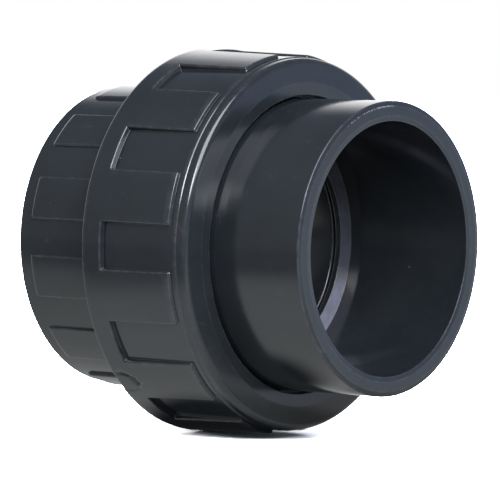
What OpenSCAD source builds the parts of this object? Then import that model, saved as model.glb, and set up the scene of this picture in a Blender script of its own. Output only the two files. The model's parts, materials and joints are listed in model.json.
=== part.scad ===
// Pipe union for solvent-cemented pressure pipe, in four pieces.
//   union_body     rear socket, a male thread and the groove that the O-ring sits in
//   o_ring         face seal between the body and the end connector
//   end_connector  front socket, with a collar that the nut draws towards the body
//   union_nut      ring nut with a female thread and a castellated grip
// Millimetres. The pipe axis is X and the end connector's mouth faces +X. The origin is on the
// axis, half way along the union. Turning the nut about +X unscrews it.

/* [Pipe sockets] */
// Outside diameter of the pipe that each socket takes
pipe_d = 63; // [60:0.5:64]
// Clearance on the diameter between pipe and socket
socket_clearance = 0.2; // [0.1:0.1:0.4]
// Depth of each socket from its rim to the pipe stop
socket_depth = 37; // [34:0.5:38]
// Height of the lip that stops the pipe
stop_height = 4.4; // [3:0.1:6]
// Length of the whole union, screwed home
union_length = 89; // [88:0.5:92]

/* [End connector] */
// Thickness of the socket wall
connector_wall = 5; // [4:0.1:5.2]
// How far the collar stands out from the socket
collar_height = 4.9; // [4.6:0.1:5.4]
// Thickness of the wall that carries the pipe stop
connector_web = 1.8; // [1.5:0.1:2.2]

/* [Union body] */
// Thickness of the socket wall
body_wall = 6.5; // [5:0.1:6.8]
// Height of the raised pads around the socket
pad_height = 0.75; // [0.5:0.05:1.2]
// Width of each pad, as an angle around the axis
pad_angle = 16.6; // [12:0.2:20]
// Turn of the pads about the axis
pad_phase = 12.6; // [0:0.2:30]
// Plain band between the pads and the rear rim
pad_setback = 4.1; // [3:0.1:6]

/* [Union nut] */
// Distance from the end connector's rim to the nut's front face
nut_setback = 26.9; // [26:0.1:28]
// Length of the nut
nut_length = 32; // [31:0.1:33]
// Number of teeth in the grip, and of pads on the body
grips = 12; // [6:1:16]
// Width of each tooth, as an angle around the axis
tooth_angle = 16.2; // [12:0.2:20]
// Turn of the teeth about the axis, screwed home
tooth_phase = 13.6; // [0:0.2:30]
// Radius of the nut's front edge
nut_front_r = 46.7; // [46.5:0.1:47.5]
// Radius of the raised band at the nut's rear
nut_rear_r = 48.7; // [48.5:0.1:51]
// Height of the teeth at their front ends
tooth_height = 1.1; // [0.8:0.1:1.6]
// Clearance around the end connector in the nut's hole
nut_hole_gap = 0.9; // [0.8:0.1:1.4]

/* [Thread] */
// Advance in one turn
pitch = 4; // [3:0.5:4]
// Depth of the thread
thread_depth = 2.2; // [1.6:0.1:2.2]
// Radial clearance between the two threads
thread_gap = 0.3; // [0.2:0.05:0.35]
// Width of a thread's crest
crest_width = 1.2; // [0.8:0.1:1.2]
// Turns of thread on the body
body_turns = 3.5; // [2:0.25:3.5]

/* [O-ring] */
// Thickness of the ring, squeezed
ring_section = 4.36; // [4:0.02:4.38]
// Radius of the ring's middle line
ring_r = 34.5; // [33:0.1:35.5]
// Gap between the two faces, screwed home
face_gap = 0.8; // [0.6:0.1:1]

/* [Hidden] */
pvc = [0.2, 0.215, 0.235];
epdm = [0.06, 0.06, 0.065];
round_fn = 96;

// Places along the axis, from the front of the union to its rear.
front_x = union_length / 2;
rear_x = -front_x;
front_stop_x = front_x - socket_depth;
connector_face_x = front_stop_x - connector_web;
body_face_x = connector_face_x - face_gap;
rear_stop_x = rear_x + socket_depth;
nut_front_x = front_x - nut_setback;
nut_rear_x = nut_front_x - nut_length;

// Radii of the two sockets and of the way through.
socket_r = (pipe_d + socket_clearance) / 2;
waterway_r = socket_r - stop_height;
connector_r = socket_r + connector_wall;
collar_r = connector_r + collar_height;
body_r = socket_r + body_wall;
pad_r = body_r + pad_height;

// The socket's mouth has a shallow bevel, and its outer edge is broken.
mouth_bevel = 1.3;
mouth_bevel_depth = 0.3;
edge = 0.5;
stop_edge = 0.4;

// The thread. A ridge starts just inside the wall that it grows from.
body_root_r = collar_r + thread_gap;
body_crest_r = body_root_r + thread_depth;
nut_crest_r = body_root_r + thread_gap;
nut_root_r = body_crest_r + thread_gap;
flank_angle = 15;
root_width = crest_width + 2 * thread_depth * tan(flank_angle);
ridge_sink = 0.3;
ridge_steps = 40;
ridge_fade = 30;
thread_setback = 15.4;
nut_extra_turns = 0.25;
body_thread_x = body_face_x - thread_setback;
nut_thread_x = body_thread_x - pitch / 2;
nut_turns = body_turns + nut_extra_turns;
thread_rear_x = body_thread_x - pitch / 2;

// The nut's inside: a wall at the front that bears on the collar, then the collar's seat.
nut_hole_r = connector_r + nut_hole_gap;
nut_front_wall = 5.2;
bearing_gap = 0.05;
bearing_x = nut_front_x - nut_front_wall;
collar_front_x = bearing_x - bearing_gap;
seat_gap = 0.7;
seat_rear_x = body_face_x + seat_gap;
nut_mouth_bevel = 1;

// The nut's outside.
hole_bevel = 3.1;
hole_bevel_depth = 0.3;
front_round = 0.6;
front_bevel = 1.1;
front_bevel_length = 3.3;
band_length = 6;
floor_draft = 0.025;
tooth_setback = 5.2;
tooth_front_x = nut_front_x - tooth_setback;
tooth_overlap = 2;
rear_edge = 0.8;

// The O-ring's groove, with room beside the ring and a little behind it.
groove_side_room = 0.8;
groove_end_room = 0.04;
groove_width = ring_section + groove_side_room;
groove_depth = ring_section + groove_end_room - face_gap;

// Turns a shape that stands on Z so that it lies along X.
module along_x() {
    rotate([0, 90, 0]) children();
}

// A ring of the given outline, whose points are [radius, x].
module turned(outline) {
    along_x() rotate_extrude($fn = round_fn) polygon(outline);
}

// A stretch of such a ring, centred on the given angle.
module turned_part(outline, width, middle) {
    along_x() rotate([0, 0, middle - width / 2])
        rotate_extrude(angle = width, $fn = round_fn) polygon(outline);
}

// How much of its full height a ridge has at an angle from its start: it fades out at both ends.
function ridge_rise(angle, total) = min(1, angle / ridge_fade, (total - angle) / ridge_fade);

// The four corners of a ridge's section at one step, rotated to that step's angle.
function ridge_section(wall_r, crest_r, angle, total) =
    let (
        out = sign(crest_r - wall_r),
        rise = ridge_rise(angle, total),
        sunk_r = wall_r - out * ridge_sink,
        top_r = wall_r - out * ridge_sink / 3 + rise * (crest_r - wall_r + out * ridge_sink / 3),
        top_width = root_width - rise * (root_width - crest_width),
        z = pitch * angle / 360,
        corners = [
            [sunk_r, -root_width / 2], [top_r, -top_width / 2],
            [top_r, top_width / 2], [sunk_r, root_width / 2]
        ]
    )
    [for (c = corners) [c[0] * cos(angle), c[0] * sin(angle), z + c[1]]];

// A helical ridge that grows from a wall of one radius to a crest of another.
module helical_ridge(wall_r, crest_r, turns, start_x) {
    steps = round(turns * ridge_steps);
    total = steps * 360 / ridge_steps;
    inward = crest_r < wall_r;
    points = [
        for (i = [0:steps]) each ridge_section(wall_r, crest_r, i * 360 / ridge_steps, total)
    ];
    sides = [
        for (i = [0:steps - 1], k = [0:3])
            let (a = 4 * i + k, b = 4 * i + (k + 1) % 4)
                each [[a, b, b + 4], [a, b + 4, a + 4]]
    ];
    last = 4 * steps;
    caps = [[3, 2, 1], [3, 1, 0], [last, last + 1, last + 2], [last, last + 2, last + 3]];
    faces = [for (f = concat(sides, caps)) inward ? [f[2], f[1], f[0]] : f];
    translate([start_x, 0, 0]) along_x() polyhedron(points, faces);
}

// Half of the section through the body's wall.
body_outline = [
    [waterway_r, rear_stop_x + stop_edge],
    [waterway_r + stop_edge, rear_stop_x],
    [socket_r, rear_stop_x],
    [socket_r, rear_x + mouth_bevel_depth],
    [socket_r + mouth_bevel, rear_x],
    [body_r - edge, rear_x],
    [body_r, rear_x + edge],
    [body_r, thread_rear_x - (body_root_r - body_r)],
    [body_root_r, thread_rear_x],
    [body_root_r, body_face_x - edge],
    [body_root_r - edge, body_face_x],
    [waterway_r + stop_edge, body_face_x],
    [waterway_r, body_face_x - stop_edge]
];

// Half of the section through the connector's wall.
connector_outline = [
    [waterway_r, connector_face_x + stop_edge],
    [waterway_r, front_stop_x - stop_edge],
    [waterway_r + stop_edge, front_stop_x],
    [socket_r, front_stop_x],
    [socket_r, front_x - mouth_bevel_depth],
    [socket_r + mouth_bevel, front_x],
    [connector_r - edge, front_x],
    [connector_r, front_x - edge],
    [connector_r, collar_front_x],
    [collar_r - edge, collar_front_x],
    [collar_r, collar_front_x - edge],
    [collar_r, connector_face_x + edge],
    [collar_r - edge, connector_face_x],
    [waterway_r + stop_edge, connector_face_x]
];

// Radius of the grip's floor, which the teeth stand on, and of the teeth's tops.
function floor_r(x) = nut_front_r + (tooth_front_x - x) * floor_draft;
function tooth_r(x) =
    let (front = nut_front_r + tooth_height)
    front + (nut_rear_r - front) * (tooth_front_x - x) / (tooth_front_x - nut_rear_x);

// Half of the section through the nut's wall, at the level of the grip's floor.
nut_outline = [
    [nut_hole_r, bearing_x],
    [nut_hole_r, nut_front_x - hole_bevel_depth],
    [nut_hole_r + hole_bevel, nut_front_x],
    [nut_front_r - front_bevel, nut_front_x],
    [nut_front_r - front_round, nut_front_x - front_round],
    [nut_front_r, nut_front_x - front_bevel_length],
    [floor_r(nut_rear_x + band_length / 2), nut_rear_x + band_length / 2],
    [floor_r(nut_rear_x), nut_rear_x],
    [nut_root_r + nut_mouth_bevel, nut_rear_x],
    [nut_root_r, nut_rear_x + nut_mouth_bevel],
    [nut_root_r, seat_rear_x - (nut_root_r - nut_crest_r)],
    [nut_crest_r, seat_rear_x],
    [nut_crest_r, bearing_x]
];

// The raised band around the nut's rear.
band_outline = [
    [nut_root_r + nut_mouth_bevel + edge, nut_rear_x],
    [nut_rear_r - rear_edge, nut_rear_x],
    [tooth_r(nut_rear_x + rear_edge), nut_rear_x + rear_edge],
    [tooth_r(nut_rear_x + band_length), nut_rear_x + band_length],
    [nut_front_r - edge, nut_rear_x + band_length]
];

// One tooth, which runs forward from the raised band.
tooth_outline = [
    [nut_front_r - edge, nut_rear_x + band_length - tooth_overlap],
    [tooth_r(nut_rear_x + band_length - tooth_overlap), nut_rear_x + band_length - tooth_overlap],
    [tooth_r(tooth_front_x), tooth_front_x],
    [nut_front_r - edge, tooth_front_x + tooth_height / 2]
];

// One pad on the body.
pad_outline = [
    [body_r - edge, rear_x + pad_setback],
    [body_r, rear_x + pad_setback],
    [pad_r, rear_x + pad_setback + pad_height],
    [pad_r, thread_rear_x - pad_height],
    [body_r - edge, thread_rear_x - pad_height]
];

module union_body() {
    color(pvc) {
        difference() {
            union() {
                turned(body_outline);
                for (i = [0:grips - 1])
                    turned_part(pad_outline, pad_angle, pad_phase + i * 360 / grips);
                helical_ridge(body_root_r, body_crest_r, body_turns, body_thread_x);
            }
            o_ring_groove();
        }
    }
}

module o_ring_groove() {
    turned([
        [ring_r - groove_width / 2, body_face_x - groove_depth],
        [ring_r + groove_width / 2, body_face_x - groove_depth],
        [ring_r + groove_width / 2, body_face_x + 1],
        [ring_r - groove_width / 2, body_face_x + 1]
    ]);
}

module o_ring() {
    color(epdm)
        translate([(body_face_x - groove_depth + connector_face_x) / 2, 0, 0])
            along_x() rotate_extrude($fn = round_fn)
                translate([ring_r, 0]) circle(d = ring_section, $fn = 48);
}

module end_connector() {
    color(pvc) turned(connector_outline);
}

module union_nut() {
    color(pvc) {
        turned(nut_outline);
        turned(band_outline);
        for (i = [0:grips - 1])
            turned_part(tooth_outline, tooth_angle, tooth_phase + i * 360 / grips);
        helical_ridge(nut_root_r, nut_crest_r, nut_turns, nut_thread_x);
    }
}

union_body();
o_ring();
end_connector();
union_nut();
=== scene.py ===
import json
import math

import bmesh
import bpy
import numpy as np
from mathutils import Matrix, Vector

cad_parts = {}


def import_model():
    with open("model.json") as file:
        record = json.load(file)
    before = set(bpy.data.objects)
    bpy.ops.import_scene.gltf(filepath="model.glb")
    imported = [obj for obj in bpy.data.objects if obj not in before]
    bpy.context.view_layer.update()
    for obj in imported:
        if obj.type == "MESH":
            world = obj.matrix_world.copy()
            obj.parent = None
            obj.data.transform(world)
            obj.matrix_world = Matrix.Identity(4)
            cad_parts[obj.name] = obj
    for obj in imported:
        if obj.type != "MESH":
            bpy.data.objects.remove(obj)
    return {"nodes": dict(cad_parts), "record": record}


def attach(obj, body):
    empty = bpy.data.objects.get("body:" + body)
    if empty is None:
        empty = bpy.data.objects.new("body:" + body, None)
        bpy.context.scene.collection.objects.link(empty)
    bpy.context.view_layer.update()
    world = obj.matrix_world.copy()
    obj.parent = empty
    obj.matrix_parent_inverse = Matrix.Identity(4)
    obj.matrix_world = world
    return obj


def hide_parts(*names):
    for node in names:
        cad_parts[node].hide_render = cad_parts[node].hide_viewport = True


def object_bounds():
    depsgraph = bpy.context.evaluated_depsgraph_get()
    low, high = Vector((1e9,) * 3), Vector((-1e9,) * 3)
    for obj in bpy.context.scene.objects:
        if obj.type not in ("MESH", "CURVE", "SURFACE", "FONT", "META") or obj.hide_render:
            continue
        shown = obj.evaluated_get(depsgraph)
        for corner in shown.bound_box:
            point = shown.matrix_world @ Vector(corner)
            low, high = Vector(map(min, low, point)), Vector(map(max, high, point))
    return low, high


# Looks of a pipe union: end connector, union nut, union body and O-ring. Each piece is a closed
# mesh turned about the pipe axis, X. Lengths are in millimetres until a mesh is made. An outline
# is a list of points (x, r), and an angle a points from the axis towards (y, z) = (sin a, -cos a).

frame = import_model()
cad_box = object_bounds()

MM = 0.001


# ---------------------------------------------------------------- sizes, from the frame

def vertex_places(mesh):
    """Arrays x, y and z of a mesh's vertices, in millimetres."""
    places = np.zeros(len(mesh.vertices) * 3)
    mesh.vertices.foreach_get("co", places)
    return places.reshape(-1, 3).T / MM


def extent(node):
    """Rearmost x, foremost x and greatest radius of a CAD node, in millimetres."""
    x, y, z = vertex_places(frame["nodes"][node].data)
    return float(x.min()), float(x.max()), float(np.hypot(y, z).max())


REAR_X, BODY_FACE_X, THREAD_CREST_R = extent("union_body")
CONNECTOR_FACE_X, FRONT_X, COLLAR_R = extent("end_connector")
NUT_REAR_X, NUT_FRONT_X, NUT_REAR_R = extent("union_nut")
RING_REAR_X, RING_FRONT_X, RING_OUTER_R = extent("o_ring")
SOCKET_R = frame["record"]["mounts"][0]["dims"]["r_mm"]
SOCKET_DEPTH = 37.0

# Walls of the two sockets, and the pipe stops at the bottom of their bores.
CONNECTOR_R = SOCKET_R + 5.0
BODY_R = SOCKET_R + 6.5
WATERWAY_R = SOCKET_R - 4.4
FRONT_STOP_X = FRONT_X - SOCKET_DEPTH
REAR_STOP_X = REAR_X + SOCKET_DEPTH

# A socket's rim: a shallow bevel on either side of a flat ring, each with a softened edge.
BEVEL = 1.3
BEVEL_DEPTH = 0.18
BEVEL_ROUND = 0.1
RIM_DEPTH = 0.25
RIM_ROUND = 0.25

# The nut's inside and front. Its wall bears on the connector's collar.
BEARING_X = NUT_FRONT_X - 5.2
COLLAR_FRONT_X = BEARING_X - 0.05
NUT_HOLE_R = CONNECTOR_R + 0.7
SEAT_REAR_X = BODY_FACE_X + 0.7
COUNTERSINK_R = NUT_HOLE_R + 3.3
COUNTERSINK_DEPTH = 0.13

# The groove in the body's face that the O-ring sits in.
GROOVE_DEPTH = 3.6
GROOVE_GAP = 0.4

# The thread, 4 mm a turn. Each ridge climbs a wall between two flat rings.
PITCH = 4.0
THREAD_DEPTH = 2.2
THREAD_GAP = 0.3
THREAD_ROUND = 0.3
CREST_WIDTH = 1.2
FLANK_ANGLE = 15.0
FADE_TURNS = 0.12
BODY_ROOT_R = THREAD_CREST_R - THREAD_DEPTH
NUT_CREST_R = BODY_ROOT_R + THREAD_GAP
NUT_ROOT_R = THREAD_CREST_R + THREAD_GAP
BODY_THREAD = {
    "start_x": NUT_REAR_X + 1.9, "end_x": BODY_FACE_X - 0.7, "start_angle": 0.0, "turns": 3.25,
    "wall_r": BODY_ROOT_R, "crest_r": THREAD_CREST_R,
}
NUT_THREAD = {
    "start_x": NUT_REAR_X + 1.23, "end_x": BODY_FACE_X - 1.7, "start_angle": 120.0,
    "turns": 3.15, "wall_r": NUT_ROOT_R, "crest_r": NUT_CREST_R,
}

# The nut's grip: twelve teeth that run forward from a raised band. NUT_ROWS_X is where the rows
# of its side begin, in front of the rounded rear edge.
GRIPS = 12
TOOTH_HALF = 8.1
TOOTH_PHASE = 13.6
TOOTH_FRONT_X = NUT_FRONT_X - 4.9
TOOTH_FRONT_R = 47.8
TOOTH_SIDE_ROUND = 0.4
TOOTH_FRONT_SLOPE = 0.3
BAND_FRONT_X = NUT_REAR_X + 6.0
BAND_SLOPE = 0.3
BAND_BLEND = 0.6
NUT_ROWS_X = NUT_REAR_X + 1.2
GRIP_FLOOR_R = 46.95
GRIP_DRAFT = 0.012

# The nut's front edge is part of an ellipse, with a low step behind it.
NUT_LIP_R = 46.65
LIP_WIDE = 2.0
LIP_DEEP = 1.3
FACE_SLOPE = 0.06
STEP_X = NUT_FRONT_X - 3.2

# A moulding gate was cut from the nut's rear band. The scar is a shallow oval with a deeper,
# uneven cut along part of its edge. The cut's place and width are shares of the oval's size.
SCAR_X = NUT_REAR_X + 2.4
SCAR_ANGLE = 314.3
SCAR_LONG = 4.4
SCAR_WIDE = 3.6
SCAR_DEPTH = 0.15
SCAR_EDGE = 0.12
SCAR_ABOVE_FLOOR = 0.4
CUT_DEPTH = 1.1
CUT_INSET = 0.16
CUT_SIDE = 0.4
SCAR_ROW = 0.4
SCAR_COLUMNS = 34
SCAR_REACH = 1.15

# The pads on the body.
PAD_HALF = 8.3
PAD_PHASE = 12.6
PAD_R = BODY_R + 0.75
PAD_REAR_X = REAR_X + 3.9
PAD_SIDE_ROUND = 0.45
PAD_REAR_ROUND = 1.3

# A raised shape's wall: the foot's share of the height, and the foot's width against the round.
FOOT_HEIGHT = 0.15
FOOT_WIDTH = 0.3

# The ridge that the mould leaves on the O-ring: its height, and its half width in degrees.
FLASH = 0.05
FLASH_HALF = 6.0

# Steps between vertices along the axis, in millimetres, and round it, in degrees.
ROW_STEP = 1.8
PAD_ROW_STEP = 2.5
BODY_STEP = 1.6
NUT_STEP = 2.0
CONNECTOR_STEP = 1.0
RING_STEP = 1.5
WELD = 1e-7


# ---------------------------------------------------------------- outlines

def unit(v):
    """The vector v at length 1."""
    return v / np.linalg.norm(v)


def round_corner(before, here, after, radius, steps, support):
    """Points that round one corner. With support, one more on each straight side keeps it flat."""
    a = unit(before - here)
    b = unit(after - here)
    half = math.acos(np.clip(a @ b, -1, 1)) / 2
    room = 0.45 * min(np.linalg.norm(before - here), np.linalg.norm(after - here))
    reach = min(radius / math.tan(half), room)
    centre = here + unit(a + b) * reach / math.cos(half)
    first = here + a * reach - centre
    last = here + b * reach - centre
    turn = math.pi - 2 * half
    arc = [
        centre + (first * math.sin((1 - t) * turn) + last * math.sin(t * turn)) / math.sin(turn)
        for t in np.linspace(0, 1, steps + 1)
    ]
    if support and reach + support < room:
        arc = [here + a * (reach + support)] + arc + [here + b * (reach + support)]
    return arc


def rounded(corners, closed=False, steps=4, support=0.25):
    """Outline through corners (x, r, round). An open outline keeps its two end points."""
    places = [np.array(c[:2], float) for c in corners]
    points = []
    for i, corner in enumerate(corners):
        radius = corner[2]
        end = not closed and i in (0, len(corners) - 1)
        if end or radius == 0:
            points.append(places[i])
        else:
            after = places[(i + 1) % len(places)]
            points += round_corner(places[i - 1], places[i], after, radius, steps, support)
    return np.array(points)


def filled(values, step):
    """The values in order, with any gap wider than step divided evenly."""
    values = sorted(values)
    out = [values[0]]
    for a, b in zip(values, values[1:]):
        parts = max(1, math.ceil((b - a) / step - 1e-9))
        out += [a + (b - a) * (k + 1) / parts for k in range(parts)]
    return np.array(out)


def wall_offsets(size):
    """Distances inward from a raised shape's edge at which its wall is sampled."""
    top = [size * (1 - math.cos(math.radians(t))) for t in (18, 36, 54, 72, 90)]
    foot = [-size * FOOT_WIDTH * (1 - math.cos(math.radians(t))) for t in (25, 50, 70, 90)]
    return [foot[-1] - 0.2] + foot[::-1] + [0.0] + top + [size + 0.25]


def wall_rise(m):
    """Height of a raised shape's wall from 0 to 1: m is 0 at its edge and 1 where its top starts."""
    m = np.minimum(m, 1)
    top = FOOT_HEIGHT + (1 - FOOT_HEIGHT) * np.sqrt(np.clip(1 - (1 - m) ** 2, 0, 1))
    foot_m = np.clip(1 + m / FOOT_WIDTH, 0, 1)
    foot = FOOT_HEIGHT * (1 - np.sqrt(1 - foot_m**2))
    return np.where(m > 0, top, foot)


def sloped(m):
    """Turns the measure of a rounded wall into that of a straight slope."""
    h = np.clip(m, 0, 1)
    return np.where((m > 0) & (m < 1), 1 - np.sqrt(1 - h * h), m)


def corner_blend(side, end):
    """One measure from two: below 1 near either edge, rounded in plan where they meet."""
    return 1 - np.hypot(np.maximum(1 - side, 0), np.maximum(1 - end, 0))


def smooth_max(a, b, width):
    """The greater of two, with a soft turn where they differ by less than width."""
    h = np.maximum(width - np.abs(a - b), 0) / width
    return np.maximum(a, b) + h * h * width / 4


def turned_from(angle, centre):
    """Signed angle from a centre, between -180 and 180 degrees."""
    return (angle - centre + 180) % 360 - 180


def from_nearest(angle, phase):
    """Signed angle from the nearest of the evenly spaced grips."""
    period = 360 / GRIPS
    return (angle - phase + period / 2) % period - period / 2


def grip_angles(phase, half, radius, size, step, extra=()):
    """Angles round the axis, close together at the sides of each grip."""
    values = list(extra)
    for k in range(GRIPS):
        for side in (-1, 1):
            for off in wall_offsets(size):
                edge = half - math.degrees(off / radius)
                values.append((phase + k * 360 / GRIPS + side * edge) % 360)
    values = sorted(set(round(v, 5) for v in values))
    return np.sort(filled(values + [values[0] + 360], step)[:-1] % 360)


# ---------------------------------------------------------------- meshes

def axis_points(x, r, angle):
    """Points at x along the axis and r from it, in metres."""
    a = np.radians(angle)
    return np.stack([x + 0 * a, r * np.sin(a), -r * np.cos(a)], -1) * MM


def grid_faces(rows, cols, wrap_rows, wrap_cols):
    """Faces of a grid of vertices, which may also join its last row or column to its first."""
    i = np.arange(rows if wrap_rows else rows - 1)
    j = np.arange(cols if wrap_cols else cols - 1)
    i, j = np.meshgrid(i, j, indexing="ij")
    i2 = (i + 1) % rows
    j2 = (j + 1) % cols
    corners = [i * cols + j, i * cols + j2, i2 * cols + j2, i2 * cols + j]
    return np.stack(corners, -1).reshape(-1, 4)


def turned(outline, angles, closed, shape=None):
    """An outline turned about X. shape(x, r, angle) may give the radius another value."""
    x, a = np.meshgrid(outline[:, 0], angles, indexing="ij")
    r, a = np.meshgrid(outline[:, 1], angles, indexing="ij")
    if shape:
        r = shape(x, r, a)
    return axis_points(x, r, a).reshape(-1, 3), grid_faces(*x.shape, closed, True)


def ridge_section():
    """Section of the thread over one pitch: places along it from 0 to 1, and heights from 0 to 1."""
    crest = CREST_WIDTH / 2
    root = crest + THREAD_DEPTH * math.tan(math.radians(FLANK_ANGLE))
    middle = PITCH / 2
    corners = [
        (0, 0, 0),
        (middle - root, 0, THREAD_ROUND),
        (middle - crest, THREAD_DEPTH, THREAD_ROUND),
        (middle + crest, THREAD_DEPTH, THREAD_ROUND),
        (middle + root, 0, THREAD_ROUND),
        (PITCH, 0, 0),
    ]
    points = rounded(corners, steps=3, support=0)
    return points[:, 0] / PITCH, points[:, 1] / THREAD_DEPTH


def threaded(angles, start_x, end_x, start_angle, turns, wall_r, crest_r):
    """The wall between two flat rings, with a ridge that climbs it. The rows of the mesh climb
    with the ridge, and the first and last turns of rows close up to meet the rings."""
    along, height = ridge_section()
    count = len(angles)
    first = int(np.searchsorted(angles, start_angle))
    steps = np.arange(first, first + count * (math.ceil(turns) + 3))
    unwrapped = angles[steps % count] + 360 * (steps // count)
    turn = (unwrapped - angles[first]) / 360 - 1
    last = int(np.searchsorted(turn, turns + 1))
    turn = turn[: last + 1]
    unwrapped = unwrapped[: last + 1]
    turns = turn[-1] - 1
    knots = [-1, 0, turns, turns + 1, turns + 2]
    row_xs = [start_x, start_x, start_x + PITCH * turns, end_x, end_x]
    low = np.interp(turn, knots, row_xs)[:, None]
    high = np.interp(turn + 1, knots, row_xs)[:, None]
    rise = np.clip(np.minimum(turn, turns - turn) / FADE_TURNS, 0, 1)
    rise = (rise * rise * (3 - 2 * rise))[:, None]
    x = low + (high - low) * along[None, :]
    r = wall_r + (crest_r - wall_r) * rise * height[None, :]
    a = np.repeat(unwrapped[:, None] % 360, len(along), 1)
    return axis_points(x, r, a).reshape(-1, 3), grid_faces(*x.shape, False, False)


# ---------------------------------------------------------------- painted shares

# Each function here gives a share from 0 to 1 for every vertex of a mesh, and make_piece stores
# it under the function's name for the materials to read.

# Curvature in 1/m at which edge wear starts, and over how much more it grows to its full share.
WEAR_FROM = 400
WEAR_RANGE = 1800

# Painted light on the pipe stops, a pale pool of lamp light that also makes them rougher: its full share
# is below the first height here.
STOP_LIGHT_TOP_Z = -10.0
STOP_LIGHT_FADE = 3.0
STOP_LIGHT_LEAST = 0.3

# A painted highlight, a pale broken line on the front mouth's bevel edge: its middle and half width, in
# degrees.
BEVEL_HIGHLIGHT_ANGLE = 193.0
BEVEL_HIGHLIGHT_HALF = 17.0
BEVEL_HIGHLIGHT_FADE = 5.0


def edge_wear(mesh):
    """Greatest where the surface bends most sharply outward."""
    count = len(mesh.vertices)
    places = np.zeros(count * 3)
    normals = np.zeros(count * 3)
    mesh.vertices.foreach_get("co", places)
    mesh.vertices.foreach_get("normal", normals)
    places = places.reshape(-1, 3)
    normals = normals.reshape(-1, 3)
    ends = np.zeros(len(mesh.edges) * 2, np.int64)
    mesh.edges.foreach_get("vertices", ends)
    a, b = ends.reshape(-1, 2).T
    step = places[b] - places[a]
    bend = normals[b] - normals[a]
    curvature = (bend * step).sum(1) / np.maximum((step * step).sum(1), 1e-12)
    most = np.zeros(count)
    np.maximum.at(most, a, curvature)
    np.maximum.at(most, b, curvature)
    return np.clip((most - WEAR_FROM) / WEAR_RANGE, 0, 1)


def stop_painted_light(mesh):
    """Painted light: most on the lower part of the two pipe stops, some on the rest of them."""
    x, y, z = vertex_places(mesh)
    r = np.hypot(y, z)
    on_stop = np.minimum(abs(x - FRONT_STOP_X), abs(x - REAR_STOP_X)) < 0.02
    on_stop = on_stop & (r > WATERWAY_R) & (r < SOCKET_R + 0.1)
    return np.where(on_stop, np.clip((STOP_LIGHT_TOP_Z - z) / STOP_LIGHT_FADE, STOP_LIGHT_LEAST, 1), 0)


def satin(mesh):
    """1 on the nut's front face, which is duller than the rest."""
    x, y, z = vertex_places(mesh)
    r = np.hypot(y, z)
    on_face = (x > NUT_FRONT_X - 0.35) & (r > CONNECTOR_R + 0.3) & (r < NUT_LIP_R - LIP_WIDE + 0.3)
    return on_face.astype(float)


def bevel_painted_highlight(mesh):
    """Painted highlight: 1 on the top of the front mouth's outer bevel edge."""
    x, y, z = vertex_places(mesh)
    on_edge = (abs(np.hypot(y, z) - CONNECTOR_R + BEVEL) < 0.06) & (x > FRONT_X - 0.1)
    off = abs(turned_from(np.degrees(np.arctan2(y, -z)), BEVEL_HIGHLIGHT_ANGLE))
    return np.where(on_edge, np.clip((BEVEL_HIGHLIGHT_HALF - off) / BEVEL_HIGHLIGHT_FADE, 0, 1), 0)


# ---------------------------------------------------------------- pieces

def make_piece(name, parts, body, node):
    """One closed object from its parts' vertices and faces, riding on a body."""
    verts = []
    faces = []
    offset = 0
    for v, f in parts:
        verts.append(v)
        faces.append(f + offset)
        offset += len(v)
    mesh = bpy.data.meshes.new(name)
    mesh.from_pydata(np.concatenate(verts).tolist(), [], np.concatenate(faces).tolist())
    bm = bmesh.new()
    bm.from_mesh(mesh)
    bmesh.ops.remove_doubles(bm, verts=bm.verts, dist=WELD)
    bmesh.ops.recalc_face_normals(bm, faces=bm.faces)
    bm.to_mesh(mesh)
    bm.free()
    mesh.polygons.foreach_set("use_smooth", [True] * len(mesh.polygons))
    for share in (edge_wear, stop_painted_light, satin, bevel_painted_highlight):
        attribute = mesh.attributes.new(share.__name__, "FLOAT", "POINT")
        attribute.data.foreach_set("value", share(mesh).astype(np.float32))
    piece = bpy.data.objects.new(name, mesh)
    bpy.context.scene.collection.objects.link(piece)
    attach(piece, body)
    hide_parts(node)
    return piece


def socket_mouth(face_x, into, outer_r):
    """Corners round a socket's rim, from its bore outward. into is 1 where the bore runs to +x."""
    return [
        (face_x + into * BEVEL_DEPTH, SOCKET_R, BEVEL_ROUND),
        (face_x, SOCKET_R + BEVEL, BEVEL_ROUND),
        (face_x, outer_r - BEVEL, BEVEL_ROUND),
        (face_x + into * RIM_DEPTH, outer_r, RIM_ROUND),
    ]


def end_connector():
    corners = [
        (CONNECTOR_FACE_X, WATERWAY_R, 0.3),
        (FRONT_STOP_X, WATERWAY_R, 0.12),
        (FRONT_STOP_X, SOCKET_R, 0.12),
        *socket_mouth(FRONT_X, -1, CONNECTOR_R),
        (COLLAR_FRONT_X, CONNECTOR_R, 0.3),
        (COLLAR_FRONT_X, COLLAR_R, 0.5),
        (CONNECTOR_FACE_X, COLLAR_R, 0.5),
    ]
    outline = rounded(corners, closed=True, steps=8)
    parts = [turned(outline, np.arange(0, 360, CONNECTOR_STEP), closed=True)]
    return make_piece("end_connector_shell", parts, "connector", "end_connector")


def o_ring():
    """Torus with the low ridge that the two halves of its mould leave inside and out."""
    section = (RING_FRONT_X - RING_REAR_X) / 2
    middle_x = (RING_FRONT_X + RING_REAR_X) / 2
    middle_r = RING_OUTER_R - section
    outline = []
    for t in filled([0, 4, 8, 172, 176, 180, 184, 188, 352, 356, 360], 9)[:-1]:
        off = min(abs(turned_from(t, 0)), abs(turned_from(t, 180)))
        r = section - FLASH + FLASH * max(0, 1 - off / FLASH_HALF)
        a = math.radians(t)
        outline.append((middle_x + r * math.sin(a), middle_r + r * math.cos(a)))
    parts = [turned(np.array(outline), np.arange(0, 360, RING_STEP), closed=True)]
    return make_piece("o_ring_seal", parts, "body", "o_ring")


def pad_floor(x):
    """The body's radius between the pads, with the cone that leads up to the thread."""
    return np.maximum(BODY_R, BODY_ROOT_R + (x - BODY_THREAD["start_x"]))


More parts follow.
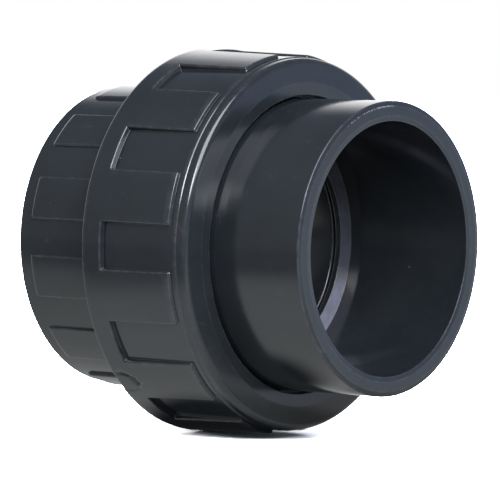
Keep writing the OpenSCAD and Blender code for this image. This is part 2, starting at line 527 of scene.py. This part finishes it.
def with_pads(x, r, angle):
    """Lowers the body's surface between the pads."""
    side = (np.radians(PAD_HALF) - np.radians(abs(from_nearest(angle, PAD_PHASE)))) * PAD_R
    m = corner_blend(side / PAD_SIDE_ROUND, (x - PAD_REAR_X) / PAD_REAR_ROUND)
    floor_r = pad_floor(x)
    return np.where(r > floor_r, floor_r + (r - floor_r) * wall_rise(m), r)


def union_body():
    pad_top_x = BODY_THREAD["start_x"] - (BODY_ROOT_R - PAD_R)
    cone_foot_x = BODY_THREAD["start_x"] - (BODY_ROOT_R - BODY_R)
    row_xs = [PAD_REAR_X + d for d in wall_offsets(PAD_REAR_ROUND)]
    row_xs += [cone_foot_x - 0.3, cone_foot_x, pad_top_x - 0.2]
    groove_x = BODY_FACE_X - GROOVE_DEPTH
    groove_in = RING_OUTER_R - (RING_FRONT_X - RING_REAR_X) - GROOVE_GAP
    groove_out = RING_OUTER_R + GROOVE_GAP
    front = [
        (BODY_THREAD["start_x"], BODY_ROOT_R, 0),
        (pad_top_x, PAD_R, 0),
    ]
    pads = [(x, PAD_R) for x in filled(row_xs, PAD_ROW_STEP)[::-1]]
    rear = [
        (PAD_REAR_X - 1.2, BODY_R, 0),
        *socket_mouth(REAR_X, 1, BODY_R)[::-1],
        (REAR_STOP_X, SOCKET_R, 0.25),
        (REAR_STOP_X, WATERWAY_R, 0.3),
        (BODY_FACE_X, WATERWAY_R, 0.4),
        (BODY_FACE_X, groove_in, 0.2),
        (groove_x, groove_in, 0.25),
        (groove_x, groove_out, 0.25),
        (BODY_FACE_X, groove_out, 0.2),
        (BODY_FACE_X, BODY_ROOT_R, 0.6),
        (BODY_THREAD["end_x"], BODY_ROOT_R, 0),
    ]
    outline = np.concatenate([rounded(front), pads, rounded(rear)])
    angles = grip_angles(PAD_PHASE, PAD_HALF, PAD_R, PAD_SIDE_ROUND, BODY_STEP)
    parts = [
        turned(outline, angles, closed=False, shape=with_pads),
        threaded(angles, **BODY_THREAD),
    ]
    return make_piece("union_body_shell", parts, "body", "union_body")


def grip_floor(x):
    """The nut's radius between its teeth."""
    return GRIP_FLOOR_R + (STEP_X - x) * GRIP_DRAFT


def tooth_top(x):
    """The radius of the teeth's tops, which grows towards the rear band."""
    share = (TOOTH_FRONT_X - x) / (TOOTH_FRONT_X - NUT_REAR_X)
    return TOOTH_FRONT_R + (NUT_REAR_R - TOOTH_FRONT_R) * share


def scar_depth(x, angle):
    """Depth of the gate's scar below the nut's surface."""
    across = np.radians(turned_from(angle, SCAR_ANGLE)) * NUT_REAR_R
    wobble = 0.12 * np.sin(across * 3.1 + 1) + 0.09 * np.sin(x * 4.3)
    ahead = (x - SCAR_X) / SCAR_LONG
    down = across / SCAR_WIDE
    inside = 1 - np.hypot(ahead, down) + 0.3 * wobble
    oval = SCAR_DEPTH * np.clip(inside / SCAR_EDGE, 0, 1)
    cut = CUT_DEPTH * np.exp(-(((inside - CUT_INSET) / SCAR_EDGE) ** 2)) * (1 + 1.5 * wobble)
    return oval + cut * np.clip((ahead - down - CUT_SIDE) / 0.5, 0, 1)


def with_teeth(x, r, angle):
    """Lowers the nut's surface between its teeth, and cuts the gate's scar."""
    side = np.radians(TOOTH_HALF - abs(from_nearest(angle, TOOTH_PHASE))) * TOOTH_FRONT_R
    end = sloped((TOOTH_FRONT_X - x) / TOOTH_FRONT_SLOPE)
    tooth = corner_blend(side / TOOTH_SIDE_ROUND, end)
    band = sloped(np.minimum((BAND_FRONT_X - x) / BAND_SLOPE, 1))
    m = smooth_max(tooth, band, BAND_BLEND)
    floor_r = grip_floor(x)
    r = np.where(r > floor_r, floor_r + (r - floor_r) * wall_rise(m), r)
    return np.where(r > floor_r + SCAR_ABOVE_FLOOR, r - scar_depth(x, angle), r)


def nut_lip():
    """Points of the nut's front edge, from its sloping face round to its side."""
    start = math.atan2(LIP_DEEP, LIP_WIDE * FACE_SLOPE)
    t = np.linspace(start, 0, 14)
    r = NUT_LIP_R - LIP_WIDE * (1 - np.cos(t))
    face_x = NUT_FRONT_X - FACE_SLOPE * (r[0] - COUNTERSINK_R)
    return np.stack([face_x + LIP_DEEP * (np.sin(t) - math.sin(start)), r], -1)


def nut_rows():
    """Places along the axis of the rows over the nut's teeth and band, from the front."""
    rows = [TOOTH_FRONT_X - d for d in wall_offsets(TOOTH_FRONT_SLOPE)]
    rows += [BAND_FRONT_X - d for d in wall_offsets(BAND_SLOPE)]
    rows += list(np.arange(NUT_ROWS_X + 0.1, SCAR_X + SCAR_LONG + 0.6, SCAR_ROW))
    return filled([x for x in rows if x > NUT_ROWS_X], ROW_STEP)[::-1]


def union_nut():
    row_xs = nut_rows()
    lip = nut_lip()
    front = [
        (NUT_THREAD["end_x"], NUT_ROOT_R, 0),
        (SEAT_REAR_X - (NUT_ROOT_R - NUT_CREST_R), NUT_ROOT_R, 0.1),
        (SEAT_REAR_X, NUT_CREST_R, 0.3),
        (BEARING_X, NUT_CREST_R, 0.4),
        (BEARING_X, NUT_HOLE_R, 0.3),
        (NUT_FRONT_X - COUNTERSINK_DEPTH, NUT_HOLE_R, 0.3),
        (NUT_FRONT_X, COUNTERSINK_R, 0.6),
        (*lip[0], 0),
    ]
    step = [
        (*lip[-1], 0),
        (STEP_X + 0.25, NUT_LIP_R + 0.05, 0.15),
        (STEP_X, grip_floor(STEP_X), 0.3),
        (row_xs[0] + 0.3, grip_floor(row_xs[0] + 0.3), 0),
    ]
    teeth = [(x, tooth_top(x)) for x in row_xs]
    rear = [
        (NUT_ROWS_X, tooth_top(NUT_ROWS_X), 0),
        (NUT_REAR_X, NUT_REAR_R, 0.6),
        (NUT_REAR_X, NUT_ROOT_R + 1, 0.15),
        (NUT_REAR_X + 1, NUT_ROOT_R, 0.15),
        (NUT_THREAD["start_x"], NUT_ROOT_R, 0),
    ]
    outline = [rounded(front, steps=3), lip[1:-1], rounded(step), teeth, rounded(rear, steps=3)]
    across = np.linspace(-SCAR_REACH, SCAR_REACH, SCAR_COLUMNS) * SCAR_WIDE
    scar = SCAR_ANGLE + np.degrees(across / NUT_REAR_R)
    angles = grip_angles(TOOTH_PHASE, TOOTH_HALF, TOOTH_FRONT_R, TOOTH_SIDE_ROUND, NUT_STEP, scar)
    parts = [
        turned(np.concatenate(outline), angles, closed=False, shape=with_teeth),
        threaded(angles, **NUT_THREAD),
    ]
    return make_piece("union_nut_shell", parts, "nut", "union_nut")


# ---------------------------------------------------------------- materials

PVC_DARK = (0.0106, 0.0131, 0.0155, 1)
PVC_LIGHT = (0.0130, 0.0159, 0.0186, 1)
PVC_DUSTY = (0.0175, 0.0201, 0.0222, 1)
PVC_STOP_LIGHT = (0.1600, 0.1680, 0.2150, 1)
PVC_WORN = (0.0600, 0.0640, 0.0720, 1)
PVC_SPECK = (0.1600, 0.1600, 0.1600, 1)
PVC_BEVEL_HIGHLIGHT = (0.1700, 0.1780, 0.1950, 1)
EPDM_BLACK = (0.0080, 0.0080, 0.0090, 1)
EPDM_BLOOM = (0.0220, 0.0220, 0.0240, 1)
EPDM_WORN = (0.0400, 0.0400, 0.0420, 1)

# Radius, in metres, that turns an angle into a distance round the unrolled surface.
UNROLL_R = 0.04


class Nodes:
    """Short calls to add and link the nodes of one material or world."""

    def __init__(self, tree):
        self.tree = tree
        self.tree.nodes.clear()

    def add(self, kind, settings=None, **inputs):
        node = self.tree.nodes.new(kind)
        for key, value in (settings or {}).items():
            setattr(node, key, value)
        for key, value in inputs.items():
            self.set(node, key.replace("_", " "), value)
        return node

    def set(self, node, key, value):
        """Links or gives a value to the input with this name or number."""
        socket = node.inputs[key]
        if isinstance(value, bpy.types.NodeSocket):
            self.tree.links.new(value, socket)
        else:
            socket.default_value = value

    def set_all(self, node, *values):
        for key, value in enumerate(values):
            self.set(node, key, value)

    def math(self, operation, a, b=0.0):
        node = self.add("ShaderNodeMath", {"operation": operation})
        self.set_all(node, a, b)
        return node.outputs[0]

    def vector(self, operation, a, b):
        node = self.add("ShaderNodeVectorMath", {"operation": operation})
        self.set_all(node, a, b)
        return node.outputs[0]

    def parts(self, vector):
        return self.add("ShaderNodeSeparateXYZ", Vector=vector).outputs

    def length(self, a, b):
        squares = self.math("ADD", self.math("MULTIPLY", a, a), self.math("MULTIPLY", b, b))
        return self.math("SQRT", squares)

    def total(self, start, *terms):
        """start, and each term's value times its weight."""
        for value, weight in terms:
            start = self.math("ADD", start, self.math("MULTIPLY", value, weight))
        return start

    def remap(self, value, low, high, to_low=0.0, to_high=1.0):
        node = self.add("ShaderNodeMapRange", {"interpolation_type": "SMOOTHSTEP"})
        self.set_all(node, value, low, high, to_low, to_high)
        return node.outputs[0]

    def mix(self, share, a, b):
        node = self.add("ShaderNodeMix", {"data_type": "RGBA"})
        self.set(node, 0, share)
        self.set(node, 6, a)
        self.set(node, 7, b)
        return node.outputs[2]

    def noise(self, place, scale, detail=3.0, rough=0.5):
        return self.add(
            "ShaderNodeTexNoise", Vector=place, Scale=scale, Detail=detail, Roughness=rough
        ).outputs[0]

    def cells(self, place, scale, **settings):
        return self.add(
            "ShaderNodeTexVoronoi", settings, Vector=place, Scale=scale, Randomness=1.0
        ).outputs

    def stretched(self, place, scale):
        return self.add("ShaderNodeMapping", Vector=place, Scale=scale).outputs[0]

    def painted(self, share):
        """A share that make_piece stored on the mesh."""
        settings = {"attribute_name": share.__name__}
        return self.add("ShaderNodeAttribute", settings).outputs["Fac"]

    def object_place(self):
        return self.add("ShaderNodeTexCoord").outputs["Object"]

    def seen_by_camera(self):
        return self.add("ShaderNodeLightPath").outputs["Is Camera Ray"]

    def surface(self, colour, rough, height, ior):
        """The plastic or rubber shader, with a bump whose height is in metres."""
        bump = self.add("ShaderNodeBump", Strength=1.0, Distance=1.0, Height=height).outputs[0]
        shader = self.add(
            "ShaderNodeBsdfPrincipled", Base_Color=colour, Roughness=rough, Normal=bump, IOR=ior
        )
        self.add("ShaderNodeOutputMaterial", Surface=shader.outputs[0])


def new_material(name):
    """An empty node material, and the calls that fill it."""
    material = bpy.data.materials.new(name)
    material.use_nodes = True
    return material, Nodes(material.node_tree)


def unrolled(n, place):
    """Where a point is on the surface unrolled from the axis: along it, round it and outward."""
    x, y, z = n.parts(place)
    radius = n.length(y, z)
    around = n.math("MULTIPLY", n.math("ARCTAN2", y, z), UNROLL_R)
    return n.add("ShaderNodeCombineXYZ", X=x, Y=around, Z=radius).outputs[0], radius


def scratches(n, flat, scale, stretch, width, share):
    """Fine lines drawn mostly one way, kept only where a slow noise lets them through."""
    cells = n.cells(n.stretched(flat, stretch), scale, feature="DISTANCE_TO_EDGE")
    line = n.remap(cells["Distance"], 0.0, width, 1.0, 0.0)
    return n.math("MULTIPLY", line, n.remap(n.noise(flat, 160.0, 2.0), share, share + 0.08))


def specks(n, place):
    """Small round dots, in a few of the cells of a pattern."""
    cells = n.cells(place, 260.0)
    chosen = n.add("ShaderNodeSeparateColor", Color=cells["Color"]).outputs[0]
    dot = n.remap(cells["Distance"], 0.03, 0.07, 1.0, 0.0)
    return n.math("MULTIPLY", dot, n.math("GREATER_THAN", chosen, 0.93))


def moulded_pvc():
    """Dark grey pressure-pipe PVC: semi-gloss, faintly mottled, scuffed and dusty at its edges."""
    material, n = new_material("moulded_pvc")
    place = n.object_place()
    flat, radius = unrolled(n, place)
    slow = n.noise(place, 55.0, 3.0)
    mottle = n.noise(place, 420.0, 4.0, 0.6)
    grain = n.noise(place, 5200.0, 2.0)
    flow = n.noise(n.stretched(flat, (22.0, 150.0, 60.0)), 1.0, 4.0)
    ragged = n.remap(n.noise(place, 1400.0, 2.0), 0.42, 0.55)

    worn = n.math("MULTIPLY", n.painted(edge_wear), n.remap(mottle, 0.42, 0.6, 0.4, 1.0))
    # Painted light: a pale pool of lamp light on the pipe stops, strongest on their lower part.
    pale = n.painted(stop_painted_light)
    along_marks = scratches(n, flat, 260.0, (0.35, 1.6, 1.0), 0.012, 0.60)
    round_marks = scratches(n, flat, 210.0, (1.5, 0.3, 1.0), 0.010, 0.63)
    marks = n.math("MAXIMUM", along_marks, round_marks)
    marks = n.math("MULTIPLY", marks, n.remap(radius, 0.033, 0.036))

    base = n.mix(n.remap(slow, 0.35, 0.65), PVC_DARK, PVC_LIGHT)
    base = n.mix(n.math("MULTIPLY", n.remap(mottle, 0.45, 0.7), 0.25), base, PVC_DUSTY)
    base = n.mix(n.math("MULTIPLY", worn, 0.35), base, PVC_WORN)
    # Painted light on the pipe stops, pale and bluish like the key light, mixed a little with the worn
    # colour.
    base = n.mix(pale, base, n.mix(n.remap(mottle, 0.4, 0.65, 0.0, 0.3), PVC_STOP_LIGHT, PVC_WORN))
    # Painted highlight: a pale broken line along the top of the front mouth's outer bevel edge.
    base = n.mix(n.math("MULTIPLY", n.painted(bevel_painted_highlight), ragged), base, PVC_BEVEL_HIGHLIGHT)
    base = n.mix(n.math("MULTIPLY", marks, 0.35), base, PVC_WORN)
    base = n.mix(n.math("MULTIPLY", specks(n, place), 0.6), base, PVC_SPECK)

    rough = n.total(
        n.remap(slow, 0.3, 0.7, 0.12, 0.16), (n.remap(mottle, 0.4, 0.75), 0.03),
        (worn, 0.10), (marks, 0.12), (pale, 0.30), (n.painted(satin), 0.05),
    )
    height = n.total(
        0.0, (slow, 26e-6), (flow, 5e-6), (mottle, 1.6e-6), (grain, 0.45e-6), (marks, -2.5e-6),
    )
    n.surface(base, rough, height, 1.54)
    return material


def epdm_rubber():
    """Black EPDM: matt, with pale patches of its moulding powder."""
    material, n = new_material("epdm_rubber")
    place = n.object_place()
    powder = n.noise(place, 240.0, 5.0, 0.65)
    grain = n.noise(place, 3600.0, 2.0)
    base = n.mix(n.remap(powder, 0.45, 0.7), EPDM_BLACK, EPDM_BLOOM)
    base = n.mix(n.math("MULTIPLY", n.painted(edge_wear), 0.3), base, EPDM_WORN)
    rough = n.remap(powder, 0.35, 0.7, 0.42, 0.62)
    n.surface(base, rough, n.total(0.0, (powder, 3e-6), (grain, 1e-6)), 1.5)
    return material


# ---------------------------------------------------------------- stage, light and camera

# The camera's place and directions in the CAD frame, in metres.
CAMERA_PLACE = Vector((0.7181, -0.8799, 0.0743))
CAMERA_RIGHT = Vector((0.77459, 0.632466, 0.0))
CAMERA_UP = Vector((-0.04245, 0.051991, 0.997745))
CAMERA_LENS = 324.0
CAMERA_SENSOR = 36.0

# Softboxes that face the union: direction and distance from it, size in metres and watts.
KEY_LIGHT = {
    "direction": Vector((0.672, -0.299, 0.678)), "distance": 1.3,
    "width": 1.15, "height": 0.95, "power": 31.0, "tint": (0.94, 0.95, 1.06),
}
FRONT_LIGHT = {
    "direction": Vector((0.65, -0.585, 0.485)), "distance": 1.3,
    "width": 0.35, "height": 0.35, "power": 8.0, "tint": (0.97, 0.98, 0.97),
}

# What the world shows to everything but the camera. Each fade is a pair of values of one part of
# the direction that is looked in: the share is 0 at the first and 1 at the second.
WHITE = (1.0, 1.0, 1.0, 1)
ROOM_FRONT = (0.35, 0.38, 0.42, 1)
ROOM_TOP = (0.16, 0.19, 0.23, 1)
BACKDROP_LEFT = (1.75, 1.75, 1.78, 1)
BACKDROP_RIGHT = (0.42, 0.52, 0.74, 1)
ROOM_FADE_Y = (-0.6, 0.35)
BACKDROP_FADE_Y = (-0.25, 0.15)
LEFT_FADE_Z = (0.33, 0.64)
RIGHT_FADE_Z = (0.0, 0.6)
RIGHT_FADE_X = (-0.4, 0.3)

# What the floor shows to everything but the camera: it glows, with painted light and shade. How
# bright it is in each part, and over which places, in metres, each part fades in.
FLOOR_HALF = 2.0
FLOOR_FRONT = (0.26, 0.275, 0.29, 1)
FLOOR_NEAR = (0.93, 0.97, 0.99, 1)
FLOOR_LEFT = (0.72, 0.75, 0.76, 1)
FLOOR_BEHIND = (0.55, 0.57, 0.57, 1)
FLOOR_RIGHT = (0.70, 0.79, 0.94, 1)
NEAR_FADE_X = (-0.09, -0.045)
NEAR_FADE_Y = (-0.20, -0.09)
BEHIND_FADE_Y = (-0.07, 0.0)
CORNER_FADE_Y = (0.05, 0.13)
CORNER_FADE_X = (0.0, 0.08)

# Ovals on the floor, each with its colour: a painted pool of light behind and two painted shadows under
# the union.
LIGHT_AND_SHADE_OVALS = [
    {"middle": (-0.015, 0.080, 0.0), "half": (0.040, 0.036, 1.0), "colour": (1.40, 1.40, 1.42, 1)},
    {"middle": (0.044, 0.016, 0.0), "half": (0.027, 0.019, 1.0), "colour": (0.20, 0.20, 0.20, 1)},
    {"middle": (-0.002, -0.009, 0.0), "half": (0.024, 0.018, 1.0), "colour": (0.015, 0.016, 0.018, 1)},
]

# What the camera sees of the floor: overexposed, with a painted soft shadow where the union touches it.
SEEN_FLOOR = (9.5, 9.4, 9.2, 1)
SEEN_PAINTED_SHADOW = {"middle": (0.0015, -0.001, 0.0), "half": (0.019, 0.009, 1.0), "colour": (1.6, 1.6, 1.6, 1)}


def with_oval(n, place, base, middle, half, colour):
    """The base colour with another inside a soft-edged oval."""
    x, y, z = n.parts(n.vector("DIVIDE", n.vector("SUBTRACT", place, middle), half))
    return n.mix(n.remap(n.length(x, y), 0.7, 1.3), colour, base)


def floor_glow(n, place):
    """The floor's glow over its parts, with painted light and shade."""
    x, y, z = n.parts(place)
    colour = n.mix(n.remap(x, *NEAR_FADE_X), FLOOR_LEFT, FLOOR_NEAR)
    colour = n.mix(n.remap(y, *NEAR_FADE_Y), FLOOR_FRONT, colour)
    colour = n.mix(n.remap(y, *BEHIND_FADE_Y), colour, FLOOR_BEHIND)
    corner = n.math("MULTIPLY", n.remap(y, *CORNER_FADE_Y), n.remap(x, *CORNER_FADE_X))
    colour = n.mix(corner, colour, FLOOR_RIGHT)
    # Painted light and shade: a pool of light behind the union and two shadows under it.
    for oval in LIGHT_AND_SHADE_OVALS:
        colour = with_oval(n, place, colour, **oval)
    return colour


def white_floor():
    """A material that shows one floor to the camera, and to everything else another that glows with
    painted light and shade.
    """
    material, n = new_material("white_floor")
    place = n.object_place()
    # To everything but the camera the floor glows instead of being lit.
    glow = n.add("ShaderNodeEmission", Color=floor_glow(n, place), Strength=1.0)
    # The camera's floor, with a painted shadow where the union touches it.
    seen = n.add("ShaderNodeBsdfDiffuse", Color=with_oval(n, place, SEEN_FLOOR, **SEEN_PAINTED_SHADOW))
    both = n.add("ShaderNodeMixShader")
    n.set_all(both, n.seen_by_camera(), glow.outputs[0], seen.outputs[0])
    n.add("ShaderNodeOutputMaterial", Surface=both.outputs[0])
    return material


def floor():
    """A flat white table at the union's lowest point."""
    level = cad_box[0].z
    corners = [(x * FLOOR_HALF, y * FLOOR_HALF, level) for x, y in ((-1, -1), (1, -1), (1, 1), (-1, 1))]
    mesh = bpy.data.meshes.new("floor")
    mesh.from_pydata(corners, [], [(0, 1, 2, 3)])
    mesh.materials.append(white_floor())
    sheet = bpy.data.objects.new("floor", mesh)
    bpy.context.scene.collection.objects.link(sheet)


def world():
    """A white backdrop behind the object, and a dim room on the camera's side and above."""
    studio = bpy.data.worlds.new("studio")
    bpy.context.scene.world = studio
    studio.use_nodes = True
    n = Nodes(studio.node_tree)
    x, y, z = n.parts(n.add("ShaderNodeTexCoord").outputs["Generated"])
    behind = n.remap(y, *BACKDROP_FADE_Y)
    low_left = n.remap(z, *LEFT_FADE_Z, 1.0, 0.0)
    low_right = n.remap(z, *RIGHT_FADE_Z, 1.0, 0.0)
    room = n.mix(n.remap(y, *ROOM_FADE_Y), ROOM_FRONT, ROOM_TOP)
    on_left = n.mix(n.math("MULTIPLY", behind, low_left), room, BACKDROP_LEFT)
    on_right = n.mix(n.math("MULTIPLY", behind, low_right), room, BACKDROP_RIGHT)
    colour = n.mix(n.remap(x, *RIGHT_FADE_X), on_left, on_right)
    colour = n.mix(n.seen_by_camera(), colour, WHITE)
    sky = n.add("ShaderNodeBackground", Color=colour, Strength=1.0)
    n.add("ShaderNodeOutputWorld", Surface=sky.outputs[0])


def softbox(name, direction, distance, width, height, power, tint):
    """A rectangular area light that faces the union."""
    light = bpy.data.lights.new(name, "AREA")
    light.shape = "RECTANGLE"
    light.size = width
    light.size_y = height
    light.energy = power
    light.color = tint
    lamp = bpy.data.objects.new(name, light)
    lamp.location = direction.normalized() * distance
    lamp.rotation_mode = "QUATERNION"
    lamp.rotation_quaternion = direction.to_track_quat("Z", "Y")
    bpy.context.scene.collection.objects.link(lamp)


def camera():
    """A long lens at the photograph's viewing angle."""
    lens = bpy.data.cameras.new("camera")
    lens.sensor_width = CAMERA_SENSOR
    lens.lens = CAMERA_LENS
    lens.clip_start = 0.05
    lens.clip_end = 20.0
    eye = bpy.data.objects.new("camera", lens)
    back = CAMERA_RIGHT.cross(CAMERA_UP)
    turn = Matrix((CAMERA_RIGHT, CAMERA_UP, back)).transposed()
    eye.matrix_world = Matrix.Translation(CAMERA_PLACE) @ turn.to_4x4()
    bpy.context.scene.collection.objects.link(eye)
    bpy.context.scene.camera = eye


# ---------------------------------------------------------------- scene

pvc = moulded_pvc()
rubber = epdm_rubber()
for piece in (union_body(), end_connector(), union_nut()):
    piece.data.materials.append(pvc)
o_ring().data.materials.append(rubber)
for node in frame["nodes"].values():
    node.data.materials.clear()
    node.data.materials.append(rubber if node.name == "o_ring" else pvc)

floor()
world()
softbox("key", **KEY_LIGHT)
softbox("front", **FRONT_LIGHT)
camera()
bpy.context.scene.view_settings.view_transform = "Standard"
